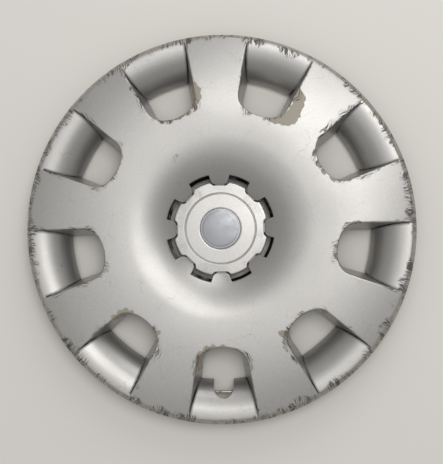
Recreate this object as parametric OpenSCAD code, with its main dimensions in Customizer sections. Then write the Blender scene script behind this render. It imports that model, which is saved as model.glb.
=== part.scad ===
// Nine-window snap-on wheel trim for a 13-inch steel wheel.
// Millimetres. Z is the wheel's axis and points out of the face. The feet of the retaining legs stand at
// z = 0 and the valve window lies on the -Y side.

/* [Trim] */
// Outer diameter of the trim
trim_d = 360; // [352:1:368]
// Thickness of the moulded wall
wall = 2.5; // [2.2:0.1:2.8]
// Height of the seat of the rim skirt above the feet
seat_z = 20; // [18:0.5:22]
// Height of the front lip above the feet
lip_z = 28; // [27:0.5:29]
// Height of the crown of the spokes above the feet
crown_z = 31.5; // [30.5:0.5:33]

/* [Windows] */
// Number of windows, with a spoke between each two
windows = 9; // [9:1:9]
// Half the angle between the two sides of a window
window_half_angle = 10.75; // [10:0.25:11.25]
// Distance from the axis to the inner end of a window
window_inner_r = 108.6; // [106:0.2:112]
// Radius of the curved inner end of a window
end_r = 35; // [32:1:40]
// Radius of the two inner corners of a window
corner_r = 15; // [12:0.5:16]
// Draft of the window sides
side_draft = 12; // [8:0.5:14]
// Draft of the inner end of a window
end_draft = 6; // [3:0.5:9]
// Radius of the rounded slope from the lip down into each window
barrel_arc = 36.5; // [35:0.5:38]
// Height of the lower edge of that slope above the feet
barrel_z = 5; // [4.5:0.5:7]

/* [Centre] */
// Radius of the crest round the dish
crest_r = 86; // [84:0.5:89]
// Radius of the foot of the dish, where the tabs begin
dish_r = 50.5; // [50:0.25:52]
// Height of the end of a tab above the feet
tab_top = 12.9; // [12.5:0.1:13.1]
// Radius of the opening between the tabs
opening_r = 48; // [47:0.25:48.5]
// Number of tabs round the centre cap
tabs = 8; // [8:1:8]
// Distance from the axis to the straight end of a tab
tab_end = 41.4; // [41:0.1:42]
// Width of a tab at its end
tab_w = 11; // [10.5:0.1:12]
// Radius of the lobes of the centre cap
cap_r = 44.4; // [44:0.1:45]
// Joint between the cap and each tab
cap_gap = 0.9; // [0.6:0.1:1.1]

/* [Badge blank] */
// Diameter of the plain disc on the cap
blank_d = 38; // [34:1:42]

/* [Retention] */
// Diameter of the spring wire
wire_d = 2.8; // [2.4:0.1:3]
// Radius of the wire ring at its centre line
ring_r = 149.6; // [149.4:0.1:149.8]
// Height of the wire's centre line above the feet
ring_z = 8; // [7.5:0.25:8.5]
// Width of a retaining leg
leg_w = 18; // [14:1:22]
// Width of the valve cut-out
valve_w = 18.5; // [16:0.5:22]

/* [Hidden] */
round_fn = 180;
trim_r = trim_d / 2;
lip_r = trim_r - 5;
pitch = 360 / windows;
// The spokes' front follows one long arc from the lip over the crown to the crest.
crown_r = 122;
lip_top = lip_z - 0.1;
crown_arc = (pow(lip_r - crown_r, 2) + pow(crown_z - lip_top, 2)) / (2 * (crown_z - lip_top));
crown_c = [crown_r, crown_z - crown_arc];
// At the crest the front turns into the rounded arc of the dish, which grows steeper towards the axis and
// runs on over the tabs to their ends.
crest_in = asin((crown_r - crest_r) / crown_arc);
crest_z = crown_c[1] + crown_arc * cos(crest_in);
dish_out = 2 * atan2(crest_z - tab_top, crest_r - tab_end) - crest_in;
dish_arc = (crest_r - tab_end) / (sin(dish_out) - sin(crest_in));
dish_c = [crest_r + dish_arc * sin(crest_in), crest_z - dish_arc * cos(crest_in)];
dish_foot = asin((dish_c[0] - dish_r) / dish_arc);
foot_z = dish_c[1] + dish_arc * cos(dish_foot);
// The slope from the lip into each window.
barrel_c = [lip_r, lip_top - barrel_arc];
barrel_r = lip_r - sqrt(pow(barrel_arc, 2) - pow(barrel_z - barrel_c[1], 2));
// Centre cap levels.
tab_foot = 8.5;
ledge_top = 11;
ledge_end = tab_end - 2.2;
cap_top = 13.2;
cap_dome = 0.6;
cap_skirt_z = 9.4;
groove_r = 33;
blank_sink = 0.8;

function arc(c, r, a0, a1, n) = [for (i = [0 : n]) let (a = a0 + (a1 - a0) * i / n) c + r * [cos(a), sin(a)]];

// Front of the trim from the lip inwards, at the depth o below the surface.
function front(o) = concat(
    arc(crown_c, crown_arc - o, 90 - asin((lip_r - crown_r) / crown_arc), 90 + crest_in, 10),
    arc(dish_c, dish_arc - o, 90 + crest_in + 2, 90 + dish_foot, 12));

// Bevel of the rim flange, from the skirt up to the lip, at the depth o.
function bevel(o) = o == 0
    ? [[trim_r, seat_z + 2.4], [trim_r - 0.6, seat_z + 3.4], [trim_r - 3.4, lip_z - 1], [trim_r - 4.2, lip_z - 0.4]]
    : [[trim_r - o - 0.1, seat_z + 1.6], [trim_r - o - 2.6, lip_z - 0.9 - o], [lip_r + 0.1, lip_top - 0.1 - o]];

// Everything below the front surface.
module front_body(o, foot) {
    rotate_extrude($fn = round_fn)
        polygon(concat([[dish_r - o, foot], [trim_r - (o == 0 ? 0 : o + 0.1), foot]], bevel(o), front(o),
                       o == 0 ? [] : [[dish_r - o, foot_z - 2 * o]]));
}

// Everything behind the rounded slope that runs from the lip down to its lower edge.
module barrel_body(o, foot) {
    rotate_extrude($fn = round_fn)
        polygon(concat([[trim_r - (o == 0 ? 0 : o + 0.1), foot]], bevel(o),
                       arc(barrel_c, barrel_arc - o, 90, 180, 16),
                       [[barrel_c[0] - barrel_arc + o, foot]]));
}

// Half outline of a window at the height z, grown by g: the side, the corner and the end, as points.
function window_half(z, g) =
    let (depth = crown_z - 0.5 - z,
         a = window_half_angle,
         side = depth * tan(side_draft) - g,
         re = end_r - depth * tan(end_draft) + g,
         rc = corner_r - depth * 0.08 + g,
         vc = window_inner_r + end_r,
         turn = asin((vc * sin(a) - rc - side) / (re - rc)) - a,
         cc = [(re - rc) * sin(turn), vc - (re - rc) * cos(turn)])
    concat([[((trim_r + 12) * sin(a) - side) / cos(a), trim_r + 12]],
           [for (i = [0 : 7]) let (t = -a - (90 - a - turn) * i / 7) cc + rc * [cos(t), sin(t)]],
           [for (i = [1 : 2]) let (t = turn * (1 - i / 3)) [re * sin(t), vc - re * cos(t)]],
           [[0, vc - re]]);

function window_ring(z, g) =
    let (half = window_half(z, g), n = len(half))
    concat([for (p = half) [p[0], p[1], z]],
           [for (i = [n - 2 : -1 : 0]) [-half[i][0], half[i][1], z]]);

// Tapered plug of a window, with its centre line along +Y.
module window_plug(g, z0, z1) {
    low = window_ring(z0, g);
    high = window_ring(z1, g);
    n = len(low);
    polyhedron(points = concat(low, high), convexity = 4,
        faces = concat([[for (i = [n - 1 : -1 : 0]) i]],
                       [[for (i = [0 : n - 1]) n + i]],
                       [for (i = [0 : n - 1]) let (j = (i + 1) % n) [i, j, n + i]],
                       [for (i = [0 : n - 1]) let (j = (i + 1) % n) [j, n + j, n + i]]));
}

module each_window() {
    for (i = [0 : windows - 1]) rotate(180 + i * pitch) children();
}

module each_spoke() {
    for (i = [0 : windows - 1]) rotate(180 + (i + 0.5) * pitch) children();
}

// What is left of the walls on the back once their lower edges are trimmed.
module back_trim() {
    rotate_extrude($fn = round_fn)
        polygon([[30, 4], [window_inner_r - 6, 4], [window_inner_r - 6, barrel_z + 10],
                 [window_inner_r + 2, barrel_z + 10], [barrel_r - 3, barrel_z], [trim_r - 6, barrel_z],
                 [trim_r - 6, seat_z], [trim_r + 5, seat_z], [trim_r + 5, 45], [30, 45]]);
}

// Thin stiffening ribs: one along each spoke and one ring that ties them together.
module ribs() {
    intersection() {
        union() {
            each_spoke() translate([-1, 84, 22]) cube([2, 84, 20]);
            rotate_extrude($fn = round_fn) translate([99, 22]) square([2, 20]);
        }
        front_body(wall / 2, 21.5);
    }
}

// Retaining leg behind a spoke, with the hooks for the wire on its inner side and the barb on its outer side.
module leg() {
    inner = ring_r + wire_d / 2 + 0.2;
    outer = inner + 3.2;
    low = ring_z - wire_d / 2 - 0.15;
    high = ring_z + wire_d / 2 + 0.15;
    translate([-leg_w / 2, 0, 0]) rotate([90, 0, 90]) linear_extrude(leg_w)
        polygon([[inner, 0.6], [inner + 0.6, 0], [outer - 0.8, 0], [outer + 2.2, 5.2], [outer + 2.2, 6.4],
                 [outer, 9], [outer, crown_z - 2.8], [inner, crown_z - 2.8], [inner, high + 1.2],
                 [inner - 2.2, high + 0.9], [inner - 2.2, high], [inner, high], [inner, low],
                 [inner - 2.4, low], [inner - 2.4, low - 1]]);
    translate([-1, 0, 0]) rotate([90, 0, 90]) linear_extrude(2)
        polygon([[outer - 1, 11], [outer + 1.5, 11], [lip_r - 3, lip_z - 6], [lip_r - 3, lip_z - 1.6],
                 [outer - 1, crown_z - 3]]);
}

// Half outline of a tab, grown by g, from its end outwards: distance along the tab and half width.
function tab_half(g) = [for (p = [[0, -1.2], [0.12, -0.45], [0.6, 0.5], [1.3, 1.3], [2.6, 2.3], [5, 3.2]])
    [tab_end - g + p[0], tab_w / 2 + g + p[1]]];

function mirrored(half) =
    concat(half, [for (i = [len(half) - 1 : -1 : 0]) [half[i][0], -half[i][1]]]);

// Outline of a tab, pointing along +X, with its root below the dish.
module tab_outline() {
    polygon(mirrored(concat(tab_half(0), [[dish_r + 2.5, tab_w / 2 + 5.2]])));
}

// Outline of the notch that a tab needs in the cap, opened out at the rim so that the lobes have rounded
// shoulders.
module notch_outline() {
    beside = tab_half(cap_gap);
    shoulder = [for (p = [[1.7, 2.05], [1.25, 2.8], [1.05, 3.6]]) [cap_r - p[0], tab_w / 2 + cap_gap + p[1]]];
    polygon(mirrored(concat([for (i = [0 : 3]) beside[i]], shoulder, [[cap_r + 4, tab_w]])));
}

// The eight tabs, whose front carries on from the dish, each hollow behind, with a ledge
// that the cap stands on.
module tab_set() {
    intersection() {
        rotate_extrude($fn = round_fn)
            polygon(concat([[38, tab_foot], [dish_r + 2, tab_foot]],
                           arc(dish_c, dish_arc - 0.1, 90 + dish_foot - 1.5, 90 + dish_out, 6), [[38, tab_top]]));
        for (i = [0 : tabs - 1]) rotate(i * 360 / tabs) difference() {
            union() {
                linear_extrude(30) tab_outline();
                translate([ledge_end, -4.5, 0]) cube([4, 9, ledge_top]);
            }
            translate([tab_end + 2, -tab_w / 2 + 1.6, 0]) cube([dish_r - tab_end - 4.5, tab_w - 3.2, ledge_top - 0.4]);
        }
    }
}

// The wall below the foot of the dish, with the shelf between the tabs.
module tab_shelf() {
    rotate_extrude($fn = round_fn)
        polygon([[opening_r, tab_foot], [dish_r + 2.5, tab_foot], [dish_r + 2.5, foot_z - 0.9],
                 [dish_r, foot_z - 1.1], [dish_r, 10.2], [opening_r, 10.2]]);
}

module valve_cutout() {
    translate([0, valve_w / 2 - 156.3, -1]) cylinder(d = valve_w, h = 50, $fn = 96);
    translate([-valve_w / 2, valve_w / 2 - 156.3, -1]) cube([valve_w, 20, 50]);
}

module cover() {
    color("silver") difference() {
        union() {
            intersection() {
                back_trim();
                difference() {
                    union() {
                        difference() {
                            front_body(0, -8);
                            each_window() window_plug(0, -10, 40);
                        }
                        barrel_body(0, -16);
                    }
                    difference() {
                        front_body(wall, -9);
                        each_window() window_plug(wall, -11, 41);
                    }
                    barrel_body(wall, -17);
                }
            }
            ribs();
            each_spoke() leg();
            tab_set();
            tab_shelf();
        }
        valve_cutout();
    }
}

// Snap leg under the cap, with a barb that catches below a tab's ledge.
module cap_clip() {
    out = ledge_end - 0.8;
    translate([0, 4.5, 0]) rotate([90, 0, 0]) linear_extrude(9)
        polygon([[out - 2, 4], [out - 0.4, 4], [out + 1.8, 6.4], [out + 1.8, tab_foot - 0.2],
                 [out, tab_foot - 0.2], [out, ledge_top + 1], [out - 2, ledge_top + 1]]);
}

module centre_cap() {
    skirt = cap_r - 2;
    color("gainsboro") difference() {
        union() {
            rotate_extrude($fn = round_fn)
                polygon(concat([[0, ledge_top], [skirt, ledge_top], [skirt, cap_skirt_z], [cap_r, cap_skirt_z]],
                    arc([cap_r - 1.2, cap_top - 1.2], 1.2, 0, 90, 5),
                    [for (r = [38 : -6 : 2]) [r, cap_top + cap_dome * (1 - pow(r / cap_r, 2))]],
                    [[0, cap_top + cap_dome]]));
            for (i = [0 : tabs - 1]) rotate(i * 360 / tabs) cap_clip();
        }
        for (i = [0 : tabs - 1]) rotate(i * 360 / tabs) linear_extrude(20) notch_outline();
        rotate_extrude($fn = round_fn) translate([groove_r - 0.9, cap_top - 0.75])
            polygon([[0.25, 0], [1.55, 0], [1.8, 3], [0, 3]]);
        translate([0, 0, cap_top + cap_dome - blank_sink]) cylinder(d = blank_d + 0.6, h = 5, $fn = round_fn);
    }
}

module badge_blank() {
    base = cap_top + cap_dome - blank_sink;
    r = blank_d / 2;
    color("lightgray") rotate_extrude($fn = round_fn)
        polygon(concat([[0, base], [r, base]], arc([r - 0.7, base + 0.9], 0.7, 0, 60, 4),
                       [for (i = [1 : 8]) let (q = (r - 1) * (1 - i / 8)) [q, base + 1.55 + 0.9 * (1 - pow(q / r, 2))]]));
}

// Wire ring with a straight, set-out stretch that clears the valve.
module retaining_ring() {
    gap = 6.6;
    end = ring_r * [sin(gap), -cos(gap)];
    knee = [11.5, -ring_r - 3.2];
    color("darkgray") translate([0, 0, ring_z]) {
        rotate(-90 + gap) rotate_extrude(angle = 360 - 2 * gap, $fn = round_fn)
            translate([ring_r, 0]) circle(d = wire_d, $fn = 24);
        for (s = [-1, 1]) bar([s * end[0], end[1]], [s * knee[0], knee[1]], wire_d - 0.1, 0.8);
        bar([-knee[0], knee[1]], knee, wire_d, 0.3);
    }
}

// Straight length of wire from a to b, run on by x at both ends.
module bar(a, b, d, x) {
    way = b - a;
    translate(a) rotate(atan2(way[1], way[0])) translate([-x, 0, 0]) rotate([0, 90, 0])
        cylinder(d = d, h = norm(way) + 2 * x, $fn = 24);
}

cover();
centre_cap();
badge_blank();
retaining_ring();
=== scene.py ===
# %% [markdown]
# A wheel trim for a small car's 13-inch steel wheel: one moulded plastic disc with nine windows, a dished
# centre with eight tabs round a lobed cap, and nine sprung legs with a wire ring behind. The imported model
# gives the frame and the sizes. Here every part is built again as a finer surface in the same frame.

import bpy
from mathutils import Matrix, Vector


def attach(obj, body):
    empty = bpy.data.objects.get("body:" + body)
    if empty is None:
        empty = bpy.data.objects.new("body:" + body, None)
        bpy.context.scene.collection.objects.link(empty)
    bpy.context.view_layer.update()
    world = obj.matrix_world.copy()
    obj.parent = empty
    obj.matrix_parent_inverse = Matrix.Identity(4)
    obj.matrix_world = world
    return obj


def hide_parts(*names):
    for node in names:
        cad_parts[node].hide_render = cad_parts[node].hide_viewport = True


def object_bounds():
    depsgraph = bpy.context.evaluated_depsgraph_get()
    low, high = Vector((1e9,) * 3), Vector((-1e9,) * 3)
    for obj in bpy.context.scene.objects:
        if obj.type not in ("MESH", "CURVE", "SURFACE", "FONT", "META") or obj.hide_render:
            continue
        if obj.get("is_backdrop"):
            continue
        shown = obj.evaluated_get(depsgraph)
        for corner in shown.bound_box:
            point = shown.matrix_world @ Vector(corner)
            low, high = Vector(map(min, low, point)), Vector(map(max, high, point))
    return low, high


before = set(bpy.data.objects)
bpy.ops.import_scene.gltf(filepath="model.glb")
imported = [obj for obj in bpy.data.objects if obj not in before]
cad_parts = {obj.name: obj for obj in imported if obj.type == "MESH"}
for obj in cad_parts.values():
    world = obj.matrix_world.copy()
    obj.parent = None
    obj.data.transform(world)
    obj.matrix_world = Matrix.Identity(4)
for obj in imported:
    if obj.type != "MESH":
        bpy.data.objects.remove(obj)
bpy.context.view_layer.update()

# %% [markdown]
# Lengths are worked out in millimetres, as on a drawing of the part, and turned to metres only when a mesh
# is made. The values below are the drawing: they are the ones that the solids were made from.

import bmesh
import bpy
import numpy as np

TRIM_R = 180.0
LIP_R = 175.0
LIP_Z = 27.9
WALL = 2.5
CROWN_R = 122.0
CROWN_Z = 31.5
CREST_R = 86.0
DISH_R = 50.5
TAB_END = 41.4
TAB_TOP = 12.9
RIM_R = 92.0
WINDOW_INNER_R = 108.6
END_R = 35.0
CORNER_R = 15.0
HALF_ANGLE = np.radians(10.75)
SIDE_DRAFT = np.radians(12.0)
END_DRAFT = np.radians(6.0)
BARREL_ARC = 36.5
BARREL_Z = 5.0
VALVE_R = 9.25
VALVE_MID = 156.3 - VALVE_R
WINDOWS = np.radians(270.0 + 40.0 * np.arange(9))
SPOKES = WINDOWS + np.radians(20.0)

# %% [markdown]
# The front of a spoke is one long arc from the lip over the crown to the crest. There it turns into the
# rounded arc of the dish, which grows steeper towards the axis and runs on over the tabs to their ends. A
# surface further in, such as the back of the wall, has the same centres and smaller radii, so one function
# gives the front and the back.

# %% Height of the front and of the back at any radius
CROWN_ARC = ((LIP_R - CROWN_R) ** 2 + (CROWN_Z - LIP_Z) ** 2) / (2 * (CROWN_Z - LIP_Z))
CROWN_C = np.array([CROWN_R, CROWN_Z - CROWN_ARC])
CREST_IN = np.arcsin((CROWN_R - CREST_R) / CROWN_ARC)
CREST_Z = CROWN_C[1] + CROWN_ARC * np.cos(CREST_IN)
DISH_OUT = 2 * np.arctan2(CREST_Z - TAB_TOP, CREST_R - TAB_END) - CREST_IN
DISH_ARC = (CREST_R - TAB_END) / (np.sin(DISH_OUT) - np.sin(CREST_IN))
DISH_C = np.array([CREST_R + DISH_ARC * np.sin(CREST_IN), CREST_Z - DISH_ARC * np.cos(CREST_IN)])


def sheet_z(r, deep=0.0):
    """Height of the front at the radius r, or of the surface `deep` below it.
    On each arc, z = centre height + the root of (arc radius squared - distance to the centre squared)."""
    crown = CROWN_C[1] + np.sqrt((CROWN_ARC - deep) ** 2 - (r - CROWN_C[0]) ** 2)
    dish = DISH_C[1] + np.sqrt(np.maximum((DISH_ARC - deep) ** 2 - (r - DISH_C[0]) ** 2, 0))
    return np.where(r > CROWN_C[0] - (CROWN_ARC - deep) * np.sin(CREST_IN), crown, dish)


print("front at lip, crown, crest, pocket, tab end:",
      np.round(sheet_z(np.array([LIP_R, CROWN_R, CREST_R, DISH_R, TAB_END])), 2))

# %% [markdown]
# Each window is cut with draft, as a mould needs: its outline shrinks from the face down. Half of the
# outline is a straight side, a round corner and a curved inner end. A column of the window's mesh follows
# one point of that outline down the wall. The columns along the side keep the same distance from the axis
# as the rings of the barrel, which is the rounded slope from the lip into the window, so that both meet
# point to point.

# %% Outline of a window
BARREL_RINGS = 22
NOTCH_ROW = 14
TANGENT = 5
CORNER = 10
END = 16


def barrel_angles(deep):
    """Angles along the barrel's arc, from the lip to its lower edge, with one ring where the valve notch
    turns from its round end to its straight sides."""
    arc = BARREL_ARC - deep
    middle = sheet_z(np.array(LIP_R), deep) - arc
    notch = np.arcsin((LIP_R - np.hypot(VALVE_MID, VALVE_R)) / arc)
    last = np.arccos((BARREL_Z - middle) / arc)
    return np.concatenate([np.linspace(0, notch, NOTCH_ROW + 1),
                           np.linspace(notch, last, BARREL_RINGS - NOTCH_ROW + 1)[1:]])


def barrel_z(rho, deep):
    """Height of the barrel at the radius rho: an arc that starts level at the lip."""
    arc = BARREL_ARC - deep
    return sheet_z(np.array(LIP_R), deep) - arc + np.sqrt(arc ** 2 - (LIP_R - rho) ** 2)


def window_edge(z, grow, rho_side):
    """Distance from the axis and angle from the centre line of each point of half an outline, from the lip
    to the middle of the inner end, at the heights z, with the outline grown by `grow`.
    Side: the line at the half angle, moved in by depth x tan(draft). Corner and end: arcs tangent to it."""
    depth = CROWN_Z - 0.5 - z
    side = depth * np.tan(SIDE_DRAFT) - grow
    end = END_R - depth * np.tan(END_DRAFT) + grow
    corner = CORNER_R - depth * 0.08 + grow
    out = WINDOW_INNER_R + END_R
    turn = np.arcsin((out * np.sin(HALF_ANGLE) - corner - side) / (end - corner)) - HALF_ANGLE
    cu = (end - corner) * np.sin(turn)
    cv = out - (end - corner) * np.cos(turn)
    n = len(rho_side)
    first = np.hypot(cu + corner * np.cos(HALF_ANGLE), cv - corner * np.sin(HALF_ANGLE))
    step = np.arange(1, TANGENT + 1) / TANGENT
    a = slice(n, n + TANGENT)
    rho_tangent = rho_side[-1] + step * (first[a] - rho_side[-1])
    b = slice(n + TANGENT, n + TANGENT + CORNER)
    t = -HALF_ANGLE - (np.pi / 2 - HALF_ANGLE - turn[b]) * np.arange(1, CORNER + 1) / CORNER
    corner_u = cu[b] + corner[b] * np.cos(t)
    corner_v = cv[b] + corner[b] * np.sin(t)
    c = slice(n + TANGENT + CORNER, n + TANGENT + CORNER + END)
    t = turn[c] * (1 - np.arange(1, END + 1) / END)
    end_u = end[c] * np.sin(t)
    end_v = out - end[c] * np.cos(t)
    rho = np.concatenate([rho_side, rho_tangent, np.hypot(corner_u, corner_v), np.hypot(end_u, end_v)])
    theta_side = HALF_ANGLE - np.arcsin(side[:n + TANGENT] / rho[:n + TANGENT])
    theta = np.concatenate([theta_side, np.arctan2(corner_u, corner_v), np.arctan2(end_u, end_v)])
    return rho, theta


COLUMNS = BARREL_RINGS + 1 + TANGENT + CORNER + END
print("points in half an outline:", COLUMNS)

# %% [markdown]
# A grid is a block of points [row, column, xyz] with three measures at each point: how far it is from the
# edge where the lacquer wears, how far from the nearest nook, where dirt stays and shade is painted, and how
# much lacquer it got.
# The materials read these later. `Shell` collects grids and turns them into one mesh, welded where they
# meet. Closed shells then have their faces turned outwards in one go.

# %% Collect grids into one mesh


class Shell:
    """Grids of points in millimetres, joined into one mesh."""

    def __init__(self):
        self.points = []
        self.faces = []
        self.edge = []
        self.nook = []
        self.paint = []
        self.count = 0

    def grid(self, xyz, edge=30.0, nook=30.0, paint=1.0, caps=False):
        """Adds the four-sided faces between neighbouring rows and columns of xyz."""
        rows, columns = xyz.shape[:2]
        index = self.count + np.arange(rows * columns).reshape(rows, columns)
        quads = np.stack([index[:-1, :-1], index[1:, :-1], index[1:, 1:], index[:-1, 1:]], axis=-1)
        self.faces += quads.reshape(-1, 4).tolist()
        if caps:
            self.faces += [index[0, :-1].tolist(), index[-1, :-1].tolist()]
        self.points.append(xyz.reshape(-1, 3))
        for store, value in ((self.edge, edge), (self.nook, nook), (self.paint, paint)):
            store.append(np.broadcast_to(value, (rows, columns)).reshape(-1))
        self.count += rows * columns

    def piece(self, name, sharp=38.0, weld=0.004):
        """Makes the object, welds the grids, turns the faces outwards and smooths all but sharp edges."""
        mesh = bpy.data.meshes.new(name)
        mesh.from_pydata(np.concatenate(self.points) / 1000, [], self.faces)
        for label in ("edge", "nook", "paint"):
            layer = mesh.attributes.new(label, "FLOAT", "POINT")
            layer.data.foreach_set("value", np.concatenate(getattr(self, label)).astype(np.float32))
        work = bmesh.new()
        work.from_mesh(mesh)
        bmesh.ops.remove_doubles(work, verts=work.verts, dist=weld / 1000)
        bmesh.ops.dissolve_degenerate(work, edges=work.edges, dist=weld / 4000)
        bmesh.ops.recalc_face_normals(work, faces=work.faces)
        loose = sum(1 for e in work.edges if len(e.link_faces) != 2)
        work.to_mesh(mesh)
        work.free()
        mesh.polygons.foreach_set("use_smooth", np.ones(len(mesh.polygons), dtype=bool))
        mesh.set_sharp_from_angle(angle=np.radians(sharp))
        obj = bpy.data.objects.new(name, mesh)
        bpy.context.scene.collection.objects.link(obj)
        triangles = sum(len(p.vertices) - 2 for p in mesh.polygons)
        print(f"{name}: {triangles} triangles, {loose} edges not shared by two faces")
        return obj


def polar(rho, theta, z, centre=0.0, side=1):
    """Points from distance, angle off a centre line and height; side -1 mirrors them across that line."""
    angle = centre + side * theta
    return np.stack(np.broadcast_arrays(rho * np.cos(angle), rho * np.sin(angle), z), axis=-1)


def revolve(profile, angles):
    """A profile of (radius, height) points carried round the axis: x = r cos a, y = r sin a."""
    r, z = np.asarray(profile, dtype=float).T
    return polar(r[:, None], angles[None, :], z[:, None])


# %% [markdown]
# The face, the rounded edge and the wall of a window are one grid. Its rows start on the boundary with the
# next window, which is the middle of the spoke and the ring at the crest. They run over the face to the
# edge, round it with a radius of just under a millimetre, and go down the wall. The back is the same grid
# a wall's thickness further in, and strips along the lower edges close the shell.

# %% Walls and face of a window
FACE_ROWS = 12
WALL_ROWS = 6


def wall_foot(rho, deep):
    """Lower end of a window's wall: the barrel where there is one, else the trimmed edge of the wall,
    which rises from 5 mm near the barrel to 15 mm at the inner end."""
    trimmed = np.interp(rho, [WINDOW_INNER_R + 2, 138.1], [BARREL_Z + 10, BARREL_Z])
    on_barrel = barrel_z(np.maximum(rho, LIP_R - (BARREL_ARC - deep) + 0.01), deep)
    columns = np.arange(COLUMNS)
    return np.where(columns <= BARREL_RINGS, np.maximum(on_barrel, BARREL_Z), trimmed)


def window_rows(deep, round_r):
    """Distance, angle and height of every grid point, row by row, and how far each is from the edge."""
    rho_side = LIP_R - (BARREL_ARC - deep) * np.sin(barrel_angles(deep))
    rho, theta = window_edge(np.full(COLUMNS, 28.0), deep, rho_side)
    foot = wall_foot(rho, deep)
    radius = np.minimum(round_r, 0.45 * np.maximum(sheet_z(rho, deep) - foot, 0))
    rows = []
    for turn in np.radians(np.linspace(0, 90, 5)):
        z = np.full(COLUMNS, 28.0)
        for _ in range(5):
            rho, theta = window_edge(z, deep + radius * (1 - np.sin(turn)), rho_side)
            z = sheet_z(rho, deep) - radius * (1 - np.cos(turn))
        rows.append((rho, theta, z))
    top = rows[-1][2]
    for part in np.arange(1, WALL_ROWS + 1) / WALL_ROWS:
        for _ in range(5):
            z = top + part * (foot - top)
            rho, theta = window_edge(z, deep, rho_side)
            foot = wall_foot(rho, deep)
        rows.append((rho, theta, z))
    rho_o, theta_o, _ = rows[0]
    n = BARREL_RINGS + 1 + TANGENT
    step = np.arange(1, CORNER + 1) / CORNER
    rho_b = np.concatenate([rho_o[:n], rho_o[n - 1] + step * (RIM_R - rho_o[n - 1]), np.full(END, RIM_R)])
    fall = np.radians(20.0) * (1 - np.arange(1, END + 1) / END)
    theta_b = np.concatenate([np.full(n + CORNER, np.radians(20.0)), fall])
    face = []
    for t in 1 - (1 - np.arange(FACE_ROWS) / FACE_ROWS) ** 1.3:
        rho = rho_b + t * (rho_o - rho_b)
        theta = theta_b + t * (theta_o - theta_b)
        face.append((rho, theta, sheet_z(rho, deep)))
    block = np.array(face + rows)
    xy = polar(block[:, 0], block[:, 1], block[:, 2])
    edge = np.linalg.norm(xy - xy[FACE_ROWS + 2], axis=-1)
    edge[:FACE_ROWS] = np.minimum(edge[:FACE_ROWS], LIP_R - block[:FACE_ROWS, 0] + 0.3)
    return block, edge


front, front_edge = window_rows(0.0, 0.9)
back, back_edge = window_rows(WALL, 0.3)
print("wall at the window's inner end from", np.round(front[FACE_ROWS + 4, 2, -1], 1), "down to",
      np.round(front[-1, 2, -1], 1))

# %% Both halves of every window, front and back, and their lower edges
cover = Shell()
for centre in WINDOWS:
    for side in (1, -1):
        for block, edge, paint in ((front, front_edge, 1.0), (back, back_edge, 0.0)):
            height = block[:, 2] - block[-1, 2]
            # Low on the wall, above the barrel, the nook is small, so the material darkens it: dirt and painted
            # shade.
            nook = np.where(np.arange(COLUMNS) <= BARREL_RINGS, np.maximum(height, 0), 30.0)
            nook = np.where(np.arange(len(block))[:, None] < FACE_ROWS + 4, 30.0, nook)
            cover.grid(polar(block[:, 0], block[:, 1], block[:, 2], centre, side), edge, nook, paint)
        strip = np.array([front[-1][:, BARREL_RINGS:], back[-1][:, BARREL_RINGS:]])
        cover.grid(polar(strip[:, 0], strip[:, 1], strip[:, 2], centre, side), 0.0, 30.0,
                   np.array([[1.0], [0.3]]))

# %% [markdown]
# The barrel is the slope of every window from the lip down to its lower edge. In the window at the valve a
# notch with a round end is cut into it. There the middle columns stop at the round end and the outer ones
# pass beside it.

# %% Barrel patches
LATERAL = 18


def barrel_patch(deep, left, right, last_row, stop=None):
    """Barrel between two angles given for each ring; `stop` gives the radius at which each column ends."""
    angles = barrel_angles(deep)[:last_row + 1]
    rho = LIP_R - (BARREL_ARC - deep) * np.sin(angles)[:, None]
    theta = left[:last_row + 1, None] + (right - left)[:last_row + 1, None] * np.linspace(0, 1, LATERAL + 1)
    rho = np.broadcast_to(rho, theta.shape)
    if stop is not None:
        rho = LIP_R - (LIP_R - rho) * (LIP_R - stop[None, :]) / (LIP_R - rho[-1, 0])
        u = VALVE_R * -np.cos(np.linspace(0, np.pi, LATERAL + 1))
        theta = np.arcsin(u[None, :] / rho)
    return rho, theta, barrel_z(rho, deep)


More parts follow.
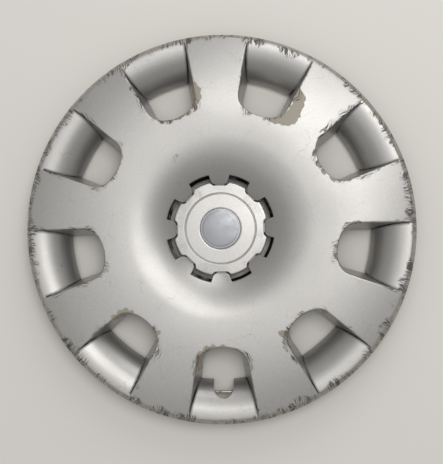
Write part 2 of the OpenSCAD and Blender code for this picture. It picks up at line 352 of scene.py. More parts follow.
n = BARREL_RINGS + 1
u_notch = VALVE_R * -np.cos(np.linspace(0, np.pi, LATERAL + 1))
notch_end = np.hypot(u_notch, VALVE_MID + np.sqrt(np.maximum(VALVE_R ** 2 - u_notch ** 2, 0)))
for number, centre in enumerate(WINDOWS):
    borders = []
    for block, deep, paint in ((front, 0.0, 1.0), (back, WALL, 0.0)):
        wall = block[-1, 1, :n]
        rho_side = block[-1, 0, :n]
        beside = np.arcsin(VALVE_R / rho_side)
        patches = []
        if number == 0:
            patches.append(barrel_patch(deep, -wall, -beside, BARREL_RINGS))
            patches.append(barrel_patch(deep, beside, wall, BARREL_RINGS))
            patches.append(barrel_patch(deep, -beside, beside, NOTCH_ROW, notch_end))
        else:
            patches.append(barrel_patch(deep, -wall, wall, BARREL_RINGS))
        for rho, theta, z in patches:
            # Beside the walls the nook is small, so the material darkens the barrel there: dirt and painted
            # shade.
            limit = np.interp(rho, rho_side[::-1], wall[::-1])
            nook = np.maximum(rho * (limit - np.abs(theta)), 0)
            arc = BARREL_ARC - deep
            edge = arc * np.arcsin(np.clip((LIP_R - rho) / arc, 0, 1)) + 0.3
            cover.grid(polar(rho, theta, z, centre), edge, nook, paint)
        borders.append(patches)
    for (rf, tf, zf), (rb, tb, zb) in zip(*borders):
        pairs = [(rf[-1], tf[-1], zf[-1], rb[-1], tb[-1], zb[-1])]
        if number == 0 and len(rf) == n:
            inner = -1 if tf[0, 0] < 0 else 0
            low = slice(NOTCH_ROW, n)
            pairs.append((rf[low, inner], tf[low, inner], zf[low, inner],
                          rb[low, inner], tb[low, inner], zb[low, inner]))
        for r0, t0, z0, r1, t1, z1 in pairs:
            strip = polar(np.array([r0, r1]), np.array([t0, t1]), np.array([z0, z1]), centre)
            cover.grid(strip, 0.0, 30.0, np.array([[0.9], [0.2]]))
print("lower edge of the barrel at", np.round(front[-1, 0, BARREL_RINGS], 1), "mm from the axis")

# %% [markdown]
# Outside the lip the flange slopes down to the skirt that rests on the wheel. It is one profile carried
# round the axis at the same angles as the points already on the lip. Years of being prised off have left
# small nicks, which only ever go inwards, so that the trim keeps its size.

# %% Flange and skirt


def lip_angles(height):
    """Sorted angles of the points that are already on the lip at a height, closed into a full turn."""
    found = np.concatenate(cover.points)
    on_lip = (np.abs(np.hypot(found[:, 0], found[:, 1]) - LIP_R) < 1e-4) & (np.abs(found[:, 2] - height) < 0.02)
    angles = np.sort(np.arctan2(found[on_lip, 1], found[on_lip, 0]) % (2 * np.pi))
    angles = angles[np.append(True, np.diff(angles) > 1e-5)]
    return np.append(angles, angles[0] + 2 * np.pi)


under_lip = float(sheet_z(np.array(LIP_R), WALL))
upper = lip_angles(LIP_Z)
lower = lip_angles(under_lip)
print("points on the lip, front and back:", len(upper), len(lower))
bevel = np.array([[175, 27.9], [175.45, 27.82], [175.8, 27.6], [176.15, 27.36], [176.6, 27.0], [177.3, 26.12],
                  [178.0, 25.2], [178.7, 24.3], [179.4, 23.4], [179.72, 22.95], [179.9, 22.7], [180, 22.3],
                  [180, 21.2], [180, 20.3], [179.9, 20.08], [179.7, 20]])
inside = np.array([[177.7, 20], [177.4, 20.3], [177.4, 21.6], [176.6, 22.6], [174.9, 24.6], [175.1, 25.3],
                   [175, under_lip]])
rng = np.random.default_rng(7)
nick_at = rng.uniform(-np.pi, np.pi, 70)
nick_deep = rng.uniform(0.05, 0.32, 70)
nick_wide = rng.uniform(0.004, 0.016, 70)
off = (upper[:, None] - nick_at[None, :] + np.pi) % (2 * np.pi) - np.pi
nicks = np.minimum((nick_deep * np.exp(-(off / nick_wide) ** 2)).sum(axis=1), 0.4)
xyz = revolve(bevel, upper)
weight = np.interp(bevel[:, 0] + (28 - bevel[:, 1]) * 0.1, [178.6, 179.6, 180.4, 180.7], [0, 1, 1, 0])
xyz[..., :2] *= 1 - (weight[:, None] * nicks[None, :] / TRIM_R)[..., None]
along = np.concatenate([[0], np.cumsum(np.linalg.norm(np.diff(bevel, axis=0), axis=1))])
scuff = np.interp(along, [0, 0.5, 1.6, 5.6, 6.6, 8.5], [0.3, -0.2, -0.75, -0.6, -0.9, 0.6])
cover.grid(xyz, scuff[:, None] * np.ones(len(upper)), 30.0, 1.0)
skirt_back = revolve(inside, lower)
cover.grid(np.array([xyz[-1], skirt_back[0]]), 0.5, 30.0, np.array([[1.0], [0.4]]))
cover.grid(skirt_back, 10.0, 30.0, 0.0)

# %% [markdown]
# The crest and the dish are carried round the axis too. The dish ends in eight tabs with round pockets
# between them. The mesh keeps its number of columns all the way: from a plain ring at 60 mm the rows bend
# towards the outline of tabs and pockets, then go round its edge and down to a narrow shelf.

# %% Dish with tabs and pockets
RING = np.radians(np.arange(0, 360.1, 1.25))
TAB_HALF = np.array([[41.4, 0], [41.4, 2.2], [41.4, 4.3], [41.52, 5.05], [42.0, 6.0], [42.7, 6.8],
                     [44.0, 7.8], [46.4, 8.7], [48.0, 9.18], [49.1, 9.55], [49.42, 9.85], [49.46, 10.2]])
POCKET = np.radians(11.65 + (22.5 - 11.65) * np.arange(1, 8) / 7)
TAB_HALF = np.concatenate([TAB_HALF, DISH_R * np.stack([np.cos(POCKET), np.sin(POCKET)], axis=1)])


def eight_fold(half):
    """Closed outline of eight sectors from half a sector, which runs from its middle to its border."""
    sector = np.concatenate([half, (half[-2::-1] * [1, -1]) @ [[np.cos(np.pi / 4), np.sin(np.pi / 4)],
                                                              [-np.sin(np.pi / 4), np.cos(np.pi / 4)]]])[:-1]
    turns = np.arange(8) * np.pi / 4
    c, s = np.cos(turns), np.sin(turns)
    x = c[:, None] * sector[:, 0] - s[:, None] * sector[:, 1]
    y = s[:, None] * sector[:, 0] + c[:, None] * sector[:, 1]
    loop = np.stack([x.ravel(), y.ravel()], axis=1)
    return np.concatenate([loop, loop[:1]])


def moved_out(loop, distance):
    """Closed outline moved along its own normals, outwards for a positive distance."""
    body = loop[:-1]
    tangent = np.roll(body, -1, axis=0) - np.roll(body, 1, axis=0)
    tangent /= np.linalg.norm(tangent, axis=1)[:, None]
    normal = np.stack([tangent[:, 1], -tangent[:, 0]], axis=1)
    body = body + normal * np.broadcast_to(distance, len(body) + 1)[:-1, None]
    return np.concatenate([body, body[:1]])


def raised(loop, z):
    """Outline points with their heights."""
    return np.concatenate([loop, np.broadcast_to(z, len(loop))[:, None]], axis=1)


dish_r = np.concatenate([np.linspace(RIM_R, CREST_R, 5)[:-1], np.linspace(CREST_R, 60, 21)])
dish = revolve(np.stack([dish_r, sheet_z(dish_r)], axis=1), RING)
hub_loop = eight_fold(TAB_HALF)
hub_angle = np.unwrap(np.arctan2(hub_loop[:, 1], hub_loop[:, 0]))
rho_hub = np.hypot(hub_loop[:, 0], hub_loop[:, 1])
soft = np.where(rho_hub > DISH_R - 0.6, 0.9, 0.55)
rim_loop = moved_out(hub_loop, soft)
rim_rho = np.hypot(rim_loop[:, 0], rim_loop[:, 1])
rim_angle = np.unwrap(np.arctan2(rim_loop[:, 1], rim_loop[:, 0]))
rows = []
for t in np.arange(1, 9) / 9:
    rho = 60 + t * (rim_rho - 60)
    angle = RING + t * (rim_angle - RING)
    rows.append(np.stack([rho * np.cos(angle), rho * np.sin(angle), sheet_z(rho)], axis=1))
for turn in np.radians(np.linspace(0, 90, 6)):
    loop = moved_out(hub_loop, soft * (1 - np.sin(turn)))
    rows.append(raised(loop, sheet_z(np.hypot(loop[:, 0], loop[:, 1])) - soft * (1 - np.cos(turn))))
top = rows[-1][:, 2]
for t in (0.2, 0.4, 0.6, 0.8, 1.0):
    rows.append(raised(hub_loop, top + t * (10.2 - top)))
shelf = np.minimum(rho_hub, 48.0)
shelf_loop = np.stack([shelf * np.cos(hub_angle), shelf * np.sin(hub_angle)], axis=1)
rows.append(raised(shelf_loop, 10.2))
rows.append(raised(shelf_loop, 8.5))
hub = np.array([dish[-1]] + rows)
# The nook is nought on the narrow shelf in each pocket, so the lacquer is darkened fully there: painted shadow,
# with a little dirt.
hub_nook = np.interp(np.arange(len(hub)), [13, 15, 16], [30.0, 1.0, 0.0])[:, None] * np.ones(len(RING))
cover.grid(dish, 30.0)
cover.grid(hub, 30.0, hub_nook)
under = revolve([[53.0, 8.5]], RING)
cover.grid(np.array([hub[-1], under[0]]), 5.0, 30.0, np.array([[0.8], [0.1]]))
back_r = np.concatenate([[53.0], np.linspace(53, RIM_R, 14)])
back_z = np.concatenate([[8.5], sheet_z(back_r[1:], WALL)])
cover.grid(revolve(np.stack([back_r, back_z], axis=1), RING), 10.0, 30.0, 0.0)
cover_shell = cover.piece("trim_shell")

# %% [markdown]
# Behind the spokes stand the parts that nobody sees when the trim is on a wheel: thin ribs, nine legs with
# hooks for the wire on their inner side and a barb on their outer side, and small ledges under the tabs
# that the cap stands on. Each is a profile drawn out to a width. A bevel modifier rounds all of them at
# once, as the mould would.

# %% Legs, ribs and ledges


def slab(shell, profile, half_width, centre, rows=2, **measures):
    """A closed profile of (radius, height) points drawn out sideways, square to the line at `centre`."""
    profile = np.asarray(profile, dtype=float)
    loop = np.concatenate([profile, profile[:1]])
    across = np.linspace(-half_width, half_width, rows)[:, None]
    r, z = loop[None, :, 0], loop[None, :, 1]
    x = r * np.cos(centre) - across * np.sin(centre)
    y = r * np.sin(centre) + across * np.cos(centre)
    shell.grid(np.stack(np.broadcast_arrays(x, y, z), axis=-1), caps=True, **measures)


LEG = [[151.2, 0.6], [151.8, 0], [153.6, 0], [156.6, 5.2], [156.6, 6.4], [154.4, 9], [154.4, 28.7],
       [151.2, 28.7], [151.2, 10.75], [149.0, 10.45], [149.0, 9.55], [151.2, 9.55], [151.2, 6.45],
       [148.8, 6.45], [148.8, 5.45]]
GUSSET = [[153.4, 11], [155.9, 11], [172, 22], [172, 26.4], [153.4, 28.5]]
fittings = Shell()
for centre in SPOKES:
    slab(fittings, LEG, 9.0, centre, edge=10.0, paint=0.0)
    slab(fittings, GUSSET, 1.0, centre, edge=10.0, paint=0.0)
    r = np.linspace(84, 168, 22)
    rib = np.concatenate([np.stack([r, sheet_z(r, WALL / 2)], axis=1), [[168, 21.5], [84, 21.5]]])
    slab(fittings, rib, 1.0, centre, edge=10.0, paint=0.0)
hoop = [[99, 21.5], [101, 21.5], [101, float(sheet_z(np.array(101.0), 1.25))],
        [99, float(sheet_z(np.array(99.0), 1.25))], [99, 21.5]]
fittings.grid(revolve(hoop, RING), 10.0, 30.0, 0.0)
for k in range(8):
    slab(fittings, [[39.2, 8.5], [43.2, 8.5], [43.2, 11], [39.2, 11]], 4.5, k * np.pi / 4, edge=10.0, paint=0.9)
leg_piece = fittings.piece("legs_and_ribs")
bevel_mod = leg_piece.modifiers.new("moulded edges", "BEVEL")
bevel_mod.width = 0.0003
bevel_mod.segments = 2
bevel_mod.limit_method = "ANGLE"
bevel_mod.angle_limit = np.radians(50)

# %% [markdown]
# The cap is a shallow dome with eight lobes. A notch for each tab lies between two lobes. It has a soft
# groove all round, a sunk seat for a plain disc in the middle, and eight snap legs underneath.

# %% Centre cap
CAP_R = 44.4
CAP_HALF = np.array([[40.5, 0], [40.5, 2.6], [40.5, 5.2], [40.62, 5.95], [41.1, 6.9], [41.8, 7.7],
                     [42.7, 8.45], [43.15, 9.2], [43.33, 9.7]])
LOBE = np.radians(12.62 + (22.5 - 12.62) * np.arange(1, 11) / 10)
CAP_HALF = np.concatenate([CAP_HALF, CAP_R * np.stack([np.cos(LOBE), np.sin(LOBE)], axis=1)])
SEAT_R = 19.3


def cap_z(rho):
    """Dome of the cap, less a groove with a cosine section 0.75 mm deep at 33 mm from the axis."""
    dome = 13.2 + 0.6 * (1 - (rho / CAP_R) ** 2)
    groove = 0.75 * 0.5 * (1 + np.cos(np.pi * np.clip((rho - 33.0) / 1.05, -1, 1)))
    return dome - groove


cap = Shell()
cap_loop = eight_fold(CAP_HALF)
cap_rho = np.hypot(cap_loop[:, 0], cap_loop[:, 1])
cap_angle = np.unwrap(np.arctan2(cap_loop[:, 1], cap_loop[:, 0]))
cap_soft = np.where(cap_rho > 43.8, 1.2, 0.7)
inner = np.concatenate([[SEAT_R + 0.25], np.linspace(20.5, 31.5, 10), np.linspace(31.9, 34.1, 17),
                        [35.0, 36.0]])
profile = [[0, 13.0], [6, 13.0], [12, 13.0], [18.5, 13.0], [SEAT_R, 13.05], [SEAT_R, 13.5]]
profile = np.concatenate([profile, np.stack([inner, cap_z(inner)], axis=1)])
rows = list(revolve(profile, RING))
cap_rim = moved_out(cap_loop, -cap_soft)
rim_r = np.hypot(cap_rim[:, 0], cap_rim[:, 1])
rim_a = np.unwrap(np.arctan2(cap_rim[:, 1], cap_rim[:, 0]))
for t in np.arange(1, 6) / 6:
    rho = 36 + t * (rim_r - 36)
    angle = RING + t * (rim_a - RING)
    rows.append(np.stack([rho * np.cos(angle), rho * np.sin(angle), cap_z(rho)], axis=1))
for turn in np.radians(np.linspace(0, 90, 6)):
    loop = moved_out(cap_loop, -cap_soft * (1 - np.sin(turn)))
    rows.append(raised(loop, cap_z(np.hypot(loop[:, 0], loop[:, 1])) - cap_soft * (1 - np.cos(turn))))
lobed = cap_rho > 43.4
foot = np.where(lobed, 9.4, 11.0)
rows.append(raised(cap_loop, foot))
cap_in = np.minimum(cap_rho, 42.4)
in_loop = np.stack([cap_in * np.cos(cap_angle), cap_in * np.sin(cap_angle)], axis=1)
rows.append(raised(in_loop, foot))
rows.append(raised(in_loop, 11.0))
rows.append(raised(in_loop * 0.5, 11.0))
rows.append(raised(in_loop * 0, 11.0))
cap_xyz = np.array(rows)
place = np.arange(len(rows))
cap.grid(cap_xyz, (np.abs(place - 37.0) * 0.6)[:, None] * np.ones(len(RING)), 30.0,
         np.where(place < 44, 1.0, 0.0)[:, None] * np.ones(len(RING)))
cap_piece = cap.piece("cap")
CLIP = [[36.4, 4], [38.0, 4], [40.2, 6.4], [40.2, 8.3], [38.4, 8.3], [38.4, 11.4], [36.4, 11.4]]
clips = Shell()
for k in range(8):
    slab(clips, CLIP, 4.5, k * np.pi / 4, edge=10.0, paint=0.0)
clip_piece = clips.piece("cap_snap_legs")
bevel_mod = clip_piece.modifiers.new("moulded edges", "BEVEL")
bevel_mod.width = 0.00025
bevel_mod.segments = 2
bevel_mod.limit_method = "ANGLE"
bevel_mod.angle_limit = np.radians(50)

# %% [markdown]
# The disc in the middle of the cap is a thin plated blank. It is plain: a low dome with a rolled edge and
# one fine turned step near the rim, which is how such blanks are pressed.

# %% Plain plated disc
q = np.linspace(17.9, 0, 30)
rise = 14.55 + 0.9 * (1 - (q / 19) ** 2) - 0.12 * (q > 16.2)
turn = np.radians(np.linspace(0, 75, 6))
rolled = np.stack([18.3 + 0.7 * np.cos(turn), 13.9 + 0.7 * np.sin(turn)], axis=1)
under = [[0, 13.0], [9, 13.0], [18.6, 13.0], [19.0, 13.3]]
profile = np.concatenate([under, rolled, np.stack([q, rise], axis=1)])
disc = Shell()
disc.grid(revolve(profile, RING))
disc_piece = disc.piece("plain_disc", sharp=50)

# %% [markdown]
# The wire is a tube along a closed path: a ring in the hooks of the legs, and at the valve a straight
# length set further out, with small bends between them.

# %% Spring wire
WIRE_R = 1.4
around = np.radians(np.linspace(-90 + 6.6, 270 - 6.6, 260))
ring_path = 149.6 * np.stack([np.cos(around), np.sin(around)], axis=1)
knees = np.array([[-11.5, -152.8], [11.5, -152.8]])
corners = np.concatenate([ring_path, knees])
path = np.concatenate([corners, corners[:1]])
length = np.concatenate([[0], np.cumsum(np.linalg.norm(np.diff(path, axis=0), axis=1))])
even = np.linspace(0, length[-1], 1201)[:-1]
path = np.stack([np.interp(even, length, path[:, 0]), np.interp(even, length, path[:, 1])], axis=1)
kernel = np.array([1, 2, 3, 2, 1]) / 9
near = np.stack([np.roll(path, k, axis=0) for k in (-2, -1, 0, 1, 2)])
path = (kernel[:, None, None] * near).sum(axis=0)
path = np.concatenate([path, path[:1]])
tangent = np.roll(path[:-1], -1, axis=0) - np.roll(path[:-1], 1, axis=0)
tangent /= np.linalg.norm(tangent, axis=1)[:, None]
sideways = np.stack([tangent[:, 1], -tangent[:, 0]], axis=1)
sideways = np.concatenate([sideways, sideways[:1]])
section = np.radians(np.linspace(0, 360, 19))
tube = np.zeros((len(path), len(section), 3))
tube[..., :2] = path[:, None, :] + WIRE_R * np.cos(section)[None, :, None] * sideways[:, None, :]
tube[..., 2] = 8.0 + WIRE_R * np.sin(section)[None, :]
wire = Shell()
wire.grid(tube)
wire_piece = wire.piece("spring_wire", sharp=60)
print("wire length in mm", round(float(length[-1])))

# %% [markdown]
# Where hands and tyre levers have worked, the silver lacquer has come off in patches along the windows.
# Each patch is a row of discs on the drawing, given by angle, radius and size. Every point gets its depth
# inside the nearest disc, positive inside, and the material turns that into a ragged edge.

# %% Patches of bare plastic
BARE = np.array([
    [58.4, 143, 3.2], [57.2, 139, 4.6], [56.4, 134, 5.2], [55.8, 129, 5.2], [55.4, 124, 5.6],
    [56.2, 119, 5.8], [58.4, 115.6, 5.2], [61.2, 113, 4.2], [64.4, 111, 3.0],
    [99.2, 133, 2.2], [98.6, 128, 3.2], [98.8, 122, 3.6], [101.0, 116, 3.8], [104.8, 111.6, 3.2],
    [109.0, 108.4, 2.2], [113.4, 109.2, 2.0], [117.0, 111.6, 1.6],
    [21.8, 117, 2.4], [22.6, 112.6, 2.6], [27.0, 107.6, 1.8], [31.5, 107.4, 1.6], [36.5, 109.6, 1.4],
    [219.2, 126, 2.4], [219.6, 120, 2.8], [220.4, 115, 2.8], [222.4, 111.6, 2.0], [238.0, 110.8, 1.6],
    [260.2, 130, 2.2], [259.8, 124, 2.8], [260.6, 117, 3.2], [262.4, 112.6, 3.0], [265.4, 109.2, 2.0],
    [270.0, 107.8, 1.4], [303.6, 126, 2.4], [302.2, 120, 3.0], [301.2, 114.4, 3.0], [299.6, 110.8, 2.2],
    [320.4, 122, 1.6], [343.6, 112.8, 2.0], [345.0, 109.8, 2.4], [350.0, 107.4, 1.5],
    [143.0, 112.4, 1.8], [146.0, 109.4, 1.4], [183.4, 113.0, 1.4], [8.0, 126, 0.4]])


def bare_depth(points):
    """Largest of (disc size - distance to the disc) over all discs, in millimetres, and at least -6."""
    angle = np.radians(BARE[:, 0])
    middle = BARE[:, 1:2] * np.stack([np.cos(angle), np.sin(angle)], axis=1)
    gap = np.linalg.norm(points[:, None, :2] - middle[None], axis=2)
    return np.maximum((BARE[:, 2][None] - gap).max(axis=1), -6.0)


for obj in (cover_shell, leg_piece, cap_piece, clip_piece):
    co = np.empty(len(obj.data.vertices) * 3)
    obj.data.vertices.foreach_get("co", co)
    depth = bare_depth(co.reshape(-1, 3) * 1000)
    layer = obj.data.attributes.new("bare", "FLOAT", "POINT")
    layer.data.foreach_set("value", depth.astype(np.float32))
    print(obj.name, "points in bare patches:", int((depth > 0).sum()))

# %% [markdown]
# Materials are node trees. One function adds a node, sets what it is given and links what it is given.
# Colours are written as they look on a screen, and one function turns them to the linear light that the
# renderer works in.

# %% Colours and nodes


def linear(code):
    """Linear colour of an sRGB hex code: ((c + 0.055) / 1.055) to the power 2.4, or c / 12.92 near black."""
    c = np.array([int(code[i:i + 2], 16) / 255 for i in (1, 3, 5)])
    c = np.where(c <= 0.04045, c / 12.92, ((c + 0.055) / 1.055) ** 2.4)
    return (*c.tolist(), 1.0)


def add(tree, kind, inputs=None, **settings):
    """Adds a node, sets its properties, and links or sets each input."""
    node = tree.nodes.new(kind)
    for key, value in settings.items():
        setattr(node, key, value)
    for key, value in (inputs or {}).items():
        if isinstance(value, bpy.types.NodeSocket):
            tree.links.new(value, node.inputs[key])
        else:
            node.inputs[key].default_value = value
    return node


def new_material(name):
    """An empty material with its output node."""
    material = bpy.data.materials.new(name)
    material.use_nodes = True
    material.node_tree.nodes.clear()
    return material, material.node_tree


MM = 1000.0

# %% [markdown]
# The trim is moulded ABS with a silver lacquer: a clear binder full of aluminium flake. It gives a pale,
# slightly grainy metal sheen that brightens and darkens in broad sheets. Age shows in four ways. Patches
# have flaked off down to warm grey plastic. The edges of the windows and of the flange are rubbed thin.
# Fine cracks and scratches full of dirt run off the edges. Dirt stays in the corners, and there the colour
# is darkened as painted shade too.

# %% Silver lacquer on moulded ABS


def lacquer(name, paint_hex, plastic_hex, wear):
    """Silver lacquer with wear. `wear` scales how far scratches and rubbed edges go."""
    material, t = new_material(name)
    place = add(t, "ShaderNodeTexCoord").outputs["Object"]
    edge = add(t, "ShaderNodeAttribute", attribute_name="edge").outputs["Fac"]
    nook = add(t, "ShaderNodeAttribute", attribute_name="nook").outputs["Fac"]
    paint = add(t, "ShaderNodeAttribute", attribute_name="paint").outputs["Fac"]
    bare = add(t, "ShaderNodeAttribute", attribute_name="bare").outputs["Fac"]
    # Ragged outlines come from noise of about 6 mm with finer detail.
    ragged = add(t, "ShaderNodeTexNoise", {"Vector": place, "Scale": MM / 6, "Detail": 4.0, "Roughness": 0.55})
    broad = add(t, "ShaderNodeTexNoise", {"Vector": place, "Scale": MM / 45, "Detail": 2.0})
    # Flake is 0.03 mm in truth, too fine for the picture, and drawn at 1.1 mm.
    flake = add(t, "ShaderNodeTexNoise", {"Vector": place, "Scale": MM / 1.1, "Detail": 1.0})
    reach = add(t, "ShaderNodeMath", {0: ragged.outputs["Fac"], 1: 8.0, 2: -3.2}, operation="MULTIPLY_ADD")
    depth = add(t, "ShaderNodeMath", {0: bare, 1: reach.outputs[0]}, operation="ADD")
    patch = add(t, "ShaderNodeMapRange", {"Value": depth.outputs[0], "From Min": -0.15, "From Max": 0.15})
    # Rubbed edges: lacquer is gone where the noise is higher than the distance from the edge allows.
    allow = add(t, "ShaderNodeMapRange", {"Value": edge, "From Min": -1.0, "From Max": 1.2, "To Min": 0.44,
                                          "To Max": 0.9})
    over = add(t, "ShaderNodeMath", {0: ragged.outputs["Fac"], 1: allow.outputs[0]}, operation="SUBTRACT")
    rubbed = add(t, "ShaderNodeMapRange", {"Value": over.outputs[0], "From Min": 0.0, "From Max": 0.03,
                                           "To Max": wear})
    gone = add(t, "ShaderNodeMath", {0: patch.outputs[0], 1: rubbed.outputs[0]}, operation="MAXIMUM")
    unpainted = add(t, "ShaderNodeMath", {0: 1.0, 1: paint}, operation="SUBTRACT")
    plastic = add(t, "ShaderNodeMath", {0: gone.outputs[0], 1: unpainted.outputs[0]}, operation="MAXIMUM")
    # Hairline cracks run out from the edges: cells 1.5 mm wide and fourteen times as long, laid out by angle
    # and distance from the axis and bent by noise. Their borders are drawn 0.25 mm wide.
    patchy = add(t, "ShaderNodeTexNoise", {"Vector": place, "Scale": MM / 18, "Detail": 3.0})
    warp = add(t, "ShaderNodeVectorMath", {0: patchy.outputs["Color"], "Scale": 0.018}, operation="SCALE")
    bent = add(t, "ShaderNodeVectorMath", {0: place, 1: warp.outputs[0]}, operation="ADD")
    flat = add(t, "ShaderNodeSeparateXYZ", {"Vector": bent.outputs[0]})
    angle = add(t, "ShaderNodeMath", {0: flat.outputs["Y"], 1: flat.outputs["X"]}, operation="ARCTAN2")
    round_way = add(t, "ShaderNodeMath", {0: angle.outputs[0], 1: 0.14}, operation="MULTIPLY")
    out_way = add(t, "ShaderNodeVectorMath", {0: bent.outputs[0]}, operation="LENGTH")
    out_way = add(t, "ShaderNodeMath", {0: out_way.outputs["Value"], 1: 0.07}, operation="MULTIPLY")
    hair_place = add(t, "ShaderNodeCombineXYZ", {"X": round_way.outputs[0], "Y": out_way.outputs[0]})
    net = add(t, "ShaderNodeTexVoronoi", {"Vector": hair_place.outputs[0], "Scale": MM / 1.5},
              feature="DISTANCE_TO_EDGE")
    line = add(t, "ShaderNodeMapRange", {"Value": net.outputs["Distance"], "From Min": 0.05,
                                         "From Max": 0.13, "To Min": 1.0, "To Max": 0.0})
    zone = add(t, "ShaderNodeMapRange", {"Value": edge, "From Min": 0.5, "From Max": 9.0, "To Min": 0.58,
                                         "To Max": 0.26})
    here = add(t, "ShaderNodeMath", {0: zone.outputs[0], 1: patchy.outputs["Fac"]}, operation="SUBTRACT")
    here = add(t, "ShaderNodeMapRange", {"Value": here.outputs[0], "From Min": 0.0, "From Max": 0.10,
                                         "To Max": 0.85 * wear})
    crack = add(t, "ShaderNodeMath", {0: line.outputs[0], 1: here.outputs[0]}, operation="MULTIPLY")
    # Long scratches: the borders of cells 30 mm wide, kept only in places.
    far = add(t, "ShaderNodeTexVoronoi", {"Vector": bent.outputs[0], "Scale": MM / 30},
              feature="DISTANCE_TO_EDGE")
    far_line = add(t, "ShaderNodeMapRange", {"Value": far.outputs["Distance"], "From Min": 0.002,
                                             "From Max": 0.006, "To Min": 1.0, "To Max": 0.0})
    some = add(t, "ShaderNodeMapRange", {"Value": patchy.outputs["Fac"], "From Min": 0.5, "From Max": 0.62,
                                         "To Max": 0.35 * wear})
    long_mark = add(t, "ShaderNodeMath", {0: far_line.outputs[0], 1: some.outputs[0]}, operation="MULTIPLY")
    marks = add(t, "ShaderNodeMath", {0: crack.outputs[0], 1: long_mark.outputs[0]}, operation="MAXIMUM")
    # Dirt and painted shade darken the colour within 3 mm of a corner; on the pocket shelves, where the nook
    # is nought, it is mostly painted shadow.
    corner_darkening = add(t, "ShaderNodeMapRange", {"Value": nook, "From Min": 0.0, "From Max": 2.8, "To Min": 1.9,
                                           "To Max": 0.0})
    dirt_and_shade = add(t, "ShaderNodeMath", {0: corner_darkening.outputs[0], 1: patchy.outputs["Fac"]}, operation="MULTIPLY",
               use_clamp=True)
    # Colours, one over the other: lacquer, plastic, dirt with painted shade, marks.
    silver = add(t, "ShaderNodeMix", {"Factor": flake.outputs["Fac"]}, data_type="RGBA")
    silver.inputs[6].default_value = linear(paint_hex)
    silver.inputs[7].default_value = tuple(min(1.0, v * 1.3) for v in linear(paint_hex)[:3]) + (1.0,)
    body = add(t, "ShaderNodeMix", {"Factor": broad.outputs["Fac"]}, data_type="RGBA")
    body.inputs[6].default_value = linear(plastic_hex)
    body.inputs[7].default_value = tuple(v * 0.8 for v in linear(plastic_hex)[:3]) + (1.0,)
    c1 = add(t, "ShaderNodeMix", {"Factor": plastic.outputs[0], 6: silver.outputs[2], 7: body.outputs[2]},
             data_type="RGBA")
    c2 = add(t, "ShaderNodeMix", {"Factor": dirt_and_shade.outputs[0], 6: c1.outputs[2], 7: linear("#171513")},
             data_type="RGBA")
    c3 = add(t, "ShaderNodeMix", {"Factor": marks.outputs[0], 6: c2.outputs[2], 7: linear("#3a3632")},
             data_type="RGBA")
    metal = add(t, "ShaderNodeMath", {0: 1.0, 1: plastic.outputs[0]}, operation="SUBTRACT")
    metal = add(t, "ShaderNodeMath", {0: metal.outputs[0], 1: 0.85}, operation="MULTIPLY")
    dull = add(t, "ShaderNodeMath", {0: marks.outputs[0], 1: dirt_and_shade.outputs[0]}, operation="MAXIMUM")
    clean = add(t, "ShaderNodeMath", {0: 1.0, 1: dull.outputs[0]}, operation="SUBTRACT")
    coat = add(t, "ShaderNodeMath", {0: clean.outputs[0], 1: 0.25}, operation="MULTIPLY")
    gleam = add(t, "ShaderNodeMath", {0: clean.outputs[0], 1: 0.5}, operation="MULTIPLY")
    metal = add(t, "ShaderNodeMath", {0: metal.outputs[0], 1: clean.outputs[0]}, operation="MULTIPLY")
    rough = add(t, "ShaderNodeMath", {0: broad.outputs["Fac"], 1: 0.14, 2: 0.33}, operation="MULTIPLY_ADD")
    rough = add(t, "ShaderNodeMath", {0: plastic.outputs[0], 1: 0.2, 2: rough.outputs[0]},
                operation="MULTIPLY_ADD")
    # The lacquer is thin, so a step of 0.04 mm at its broken edge is enough to catch the light.
    level = add(t, "ShaderNodeMath", {0: plastic.outputs[0], 1: -1.0, 2: 1.0}, operation="MULTIPLY_ADD")
    level = add(t, "ShaderNodeMath", {0: marks.outputs[0], 1: -0.6, 2: level.outputs[0]},
                operation="MULTIPLY_ADD")
    bump = add(t, "ShaderNodeBump", {"Height": level.outputs[0], "Strength": 0.6, "Distance": 0.00004})
    grain = add(t, "ShaderNodeBump", {"Height": flake.outputs["Fac"], "Strength": 0.25, "Distance": 0.00003,
                                      "Normal": bump.outputs[0]})
    shader = add(t, "ShaderNodeBsdfPrincipled", {"Base Color": c3.outputs[2], "Metallic": metal.outputs[0],
                                                 "Roughness": rough.outputs[0], "Normal": grain.outputs[0],
                                                 "Specular IOR Level": gleam.outputs[0],
                                                 "Coat Weight": coat.outputs[0], "Coat Roughness": 0.12})
    add(t, "ShaderNodeOutputMaterial", {"Surface": shader.outputs[0]})
    return material


shell_lacquer = lacquer("silver_lacquer_on_moulded_abs", "#979592", "#8f8778", 1.0)
cap_lacquer = lacquer("pale_silver_lacquer_on_moulded_abs", "#a6a4a1", "#8f8778", 0.3)

# %% [markdown]
# The disc is thin sheet, plated with chromium over a brushed ground, so it mirrors softly. The wire is
# drawn steel with zinc on it, dulled to grey, with lines along its length too fine to show and some brown
# where the zinc has gone.

# %% Satin chromium plate and zinc plated wire
plate, t = new_material("satin_chromium_plate")
place = add(t, "ShaderNodeTexCoord").outputs["Object"]
haze = add(t, "ShaderNodeTexNoise", {"Vector": place, "Scale": MM / 6, "Detail": 4.0})
gloss = add(t, "ShaderNodeMapRange", {"Value": haze.outputs["Fac"], "From Min": 0.3, "From Max": 0.7,
                                      "To Min": 0.34, "To Max": 0.46})
shine = add(t, "ShaderNodeBsdfPrincipled", {"Base Color": linear("#8b8c8f"), "Metallic": 1.0,
                                            "Roughness": gloss.outputs[0]})
add(t, "ShaderNodeOutputMaterial", {"Surface": shine.outputs[0]})

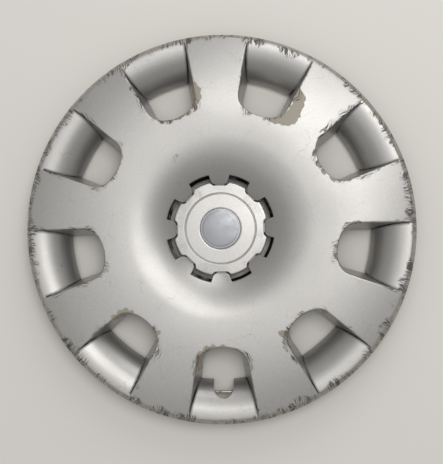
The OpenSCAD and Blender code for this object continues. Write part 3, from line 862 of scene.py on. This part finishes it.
zinc, t = new_material("zinc_plated_drawn_steel")
place = add(t, "ShaderNodeTexCoord").outputs["Object"]
spots = add(t, "ShaderNodeTexNoise", {"Vector": place, "Scale": MM / 5, "Detail": 5.0})
rust = add(t, "ShaderNodeMapRange", {"Value": spots.outputs["Fac"], "From Min": 0.56, "From Max": 0.66,
                                     "To Max": 0.8})
tone = add(t, "ShaderNodeMix", {"Factor": rust.outputs[0], 6: linear("#b3b0a8"), 7: linear("#6b4a33")},
           data_type="RGBA")
keep = add(t, "ShaderNodeMath", {0: 1.0, 1: rust.outputs[0]}, operation="SUBTRACT")
gloss = add(t, "ShaderNodeMapRange", {"Value": spots.outputs["Fac"], "From Min": 0.35, "From Max": 0.65,
                                      "To Min": 0.3, "To Max": 0.6})
wire_shader = add(t, "ShaderNodeBsdfPrincipled", {"Base Color": tone.outputs[2], "Metallic": keep.outputs[0],
                                                  "Roughness": gloss.outputs[0]})
add(t, "ShaderNodeOutputMaterial", {"Surface": wire_shader.outputs[0]})

# %% Give each piece its material and its body, and hide the imported part that it replaces
for obj, material, node, slot in (
        (cover_shell, shell_lacquer, "cover", "silver_paint"),
        (leg_piece, shell_lacquer, "cover", "silver_paint"),
        (cap_piece, cap_lacquer, "centre_cap", "cap_paint"),
        (clip_piece, cap_lacquer, "centre_cap", "cap_paint"),
        (disc_piece, plate, "badge_blank", "blank_metal"),
        (wire_piece, zinc, "retaining_ring", "spring_wire")):
    obj.data.materials.append(material)
    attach(obj, "root")
    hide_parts(node)

# %% [markdown]
# The trim lies face up on a plain pale floor. The camera hangs almost straight above it. Its place and its
# focal length were found by fitting known points of the trim to the photograph, so the matrix below is that
# fit: small turns about x, y and z, and a distance of 733.5 mm. Three soft lamps light the trim in an even,
# pale room: one high on the upper right, a low one behind it, and one overhead.

# %% Floor, camera and lights
from mathutils import Matrix, Vector

floor_mesh = bpy.data.meshes.new("floor")
floor_mesh.from_pydata([(-3, -3, 0), (3, -3, 0), (3, 3, 0), (-3, 3, 0)], [], [(0, 1, 2, 3)])
floor = bpy.data.objects.new("floor", floor_mesh)
bpy.context.scene.collection.objects.link(floor)
floor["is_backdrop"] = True
ground, t = new_material("plain_pale_floor")
matt = add(t, "ShaderNodeBsdfPrincipled", {"Base Color": linear("#cfccc6"), "Roughness": 0.8})
add(t, "ShaderNodeOutputMaterial", {"Surface": matt.outputs[0]})
floor.data.materials.append(ground)

turn = (Matrix.Rotation(np.radians(-1.58), 4, "X") @ Matrix.Rotation(np.radians(-2.50), 4, "Y")
        @ Matrix.Rotation(np.radians(1.23), 4, "Z"))
to_camera = Matrix.Translation((-0.0016, 0.0036, -0.7335)) @ turn @ Matrix.Translation((0, 0, -0.028))
camera_data = bpy.data.cameras.new("camera")
camera_data.sensor_fit = "HORIZONTAL"
camera_data.sensor_width = 36.0
camera_data.lens = 36.0 * 800 / 443
camera_data.clip_start = 0.01
camera = bpy.data.objects.new("camera", camera_data)
camera.matrix_world = to_camera.inverted()
bpy.context.scene.collection.objects.link(camera)
bpy.context.scene.camera = camera


def soft_light(name, azimuth, elevation, distance, size, power):
    """A square area lamp that looks at the trim from a given side and height."""
    lamp = bpy.data.lights.new(name, "AREA")
    lamp.shape = "SQUARE"
    lamp.size = size
    lamp.energy = power
    obj = bpy.data.objects.new(name, lamp)
    a, e = np.radians(azimuth), np.radians(elevation)
    obj.location = distance * Vector((np.cos(e) * np.cos(a), np.cos(e) * np.sin(a), np.sin(e)))
    obj.rotation_euler = (-obj.location).to_track_quat("-Z", "Y").to_euler()
    bpy.context.scene.collection.objects.link(obj)


soft_light("window_light", 50, 70, 1.6, 0.8, 9.0)
soft_light("side_light", 75, 26, 1.6, 0.9, 7.0)
soft_light("overhead_light", 200, 82, 1.6, 1.2, 3.4)
world = bpy.data.worlds.new("room")
world.use_nodes = True
world.node_tree.nodes["Background"].inputs["Color"].default_value = linear("#ffffff")
world.node_tree.nodes["Background"].inputs["Strength"].default_value = 0.5
bpy.context.scene.world = world
bpy.context.scene.view_settings.view_transform = "Standard"

# %% [markdown]
# Last, the size of this model's box is printed.

# %% Print the size and finish
low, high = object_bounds()
print("visual box in mm", [round((b - a) * 1000, 1) for a, b in zip(low, high)])
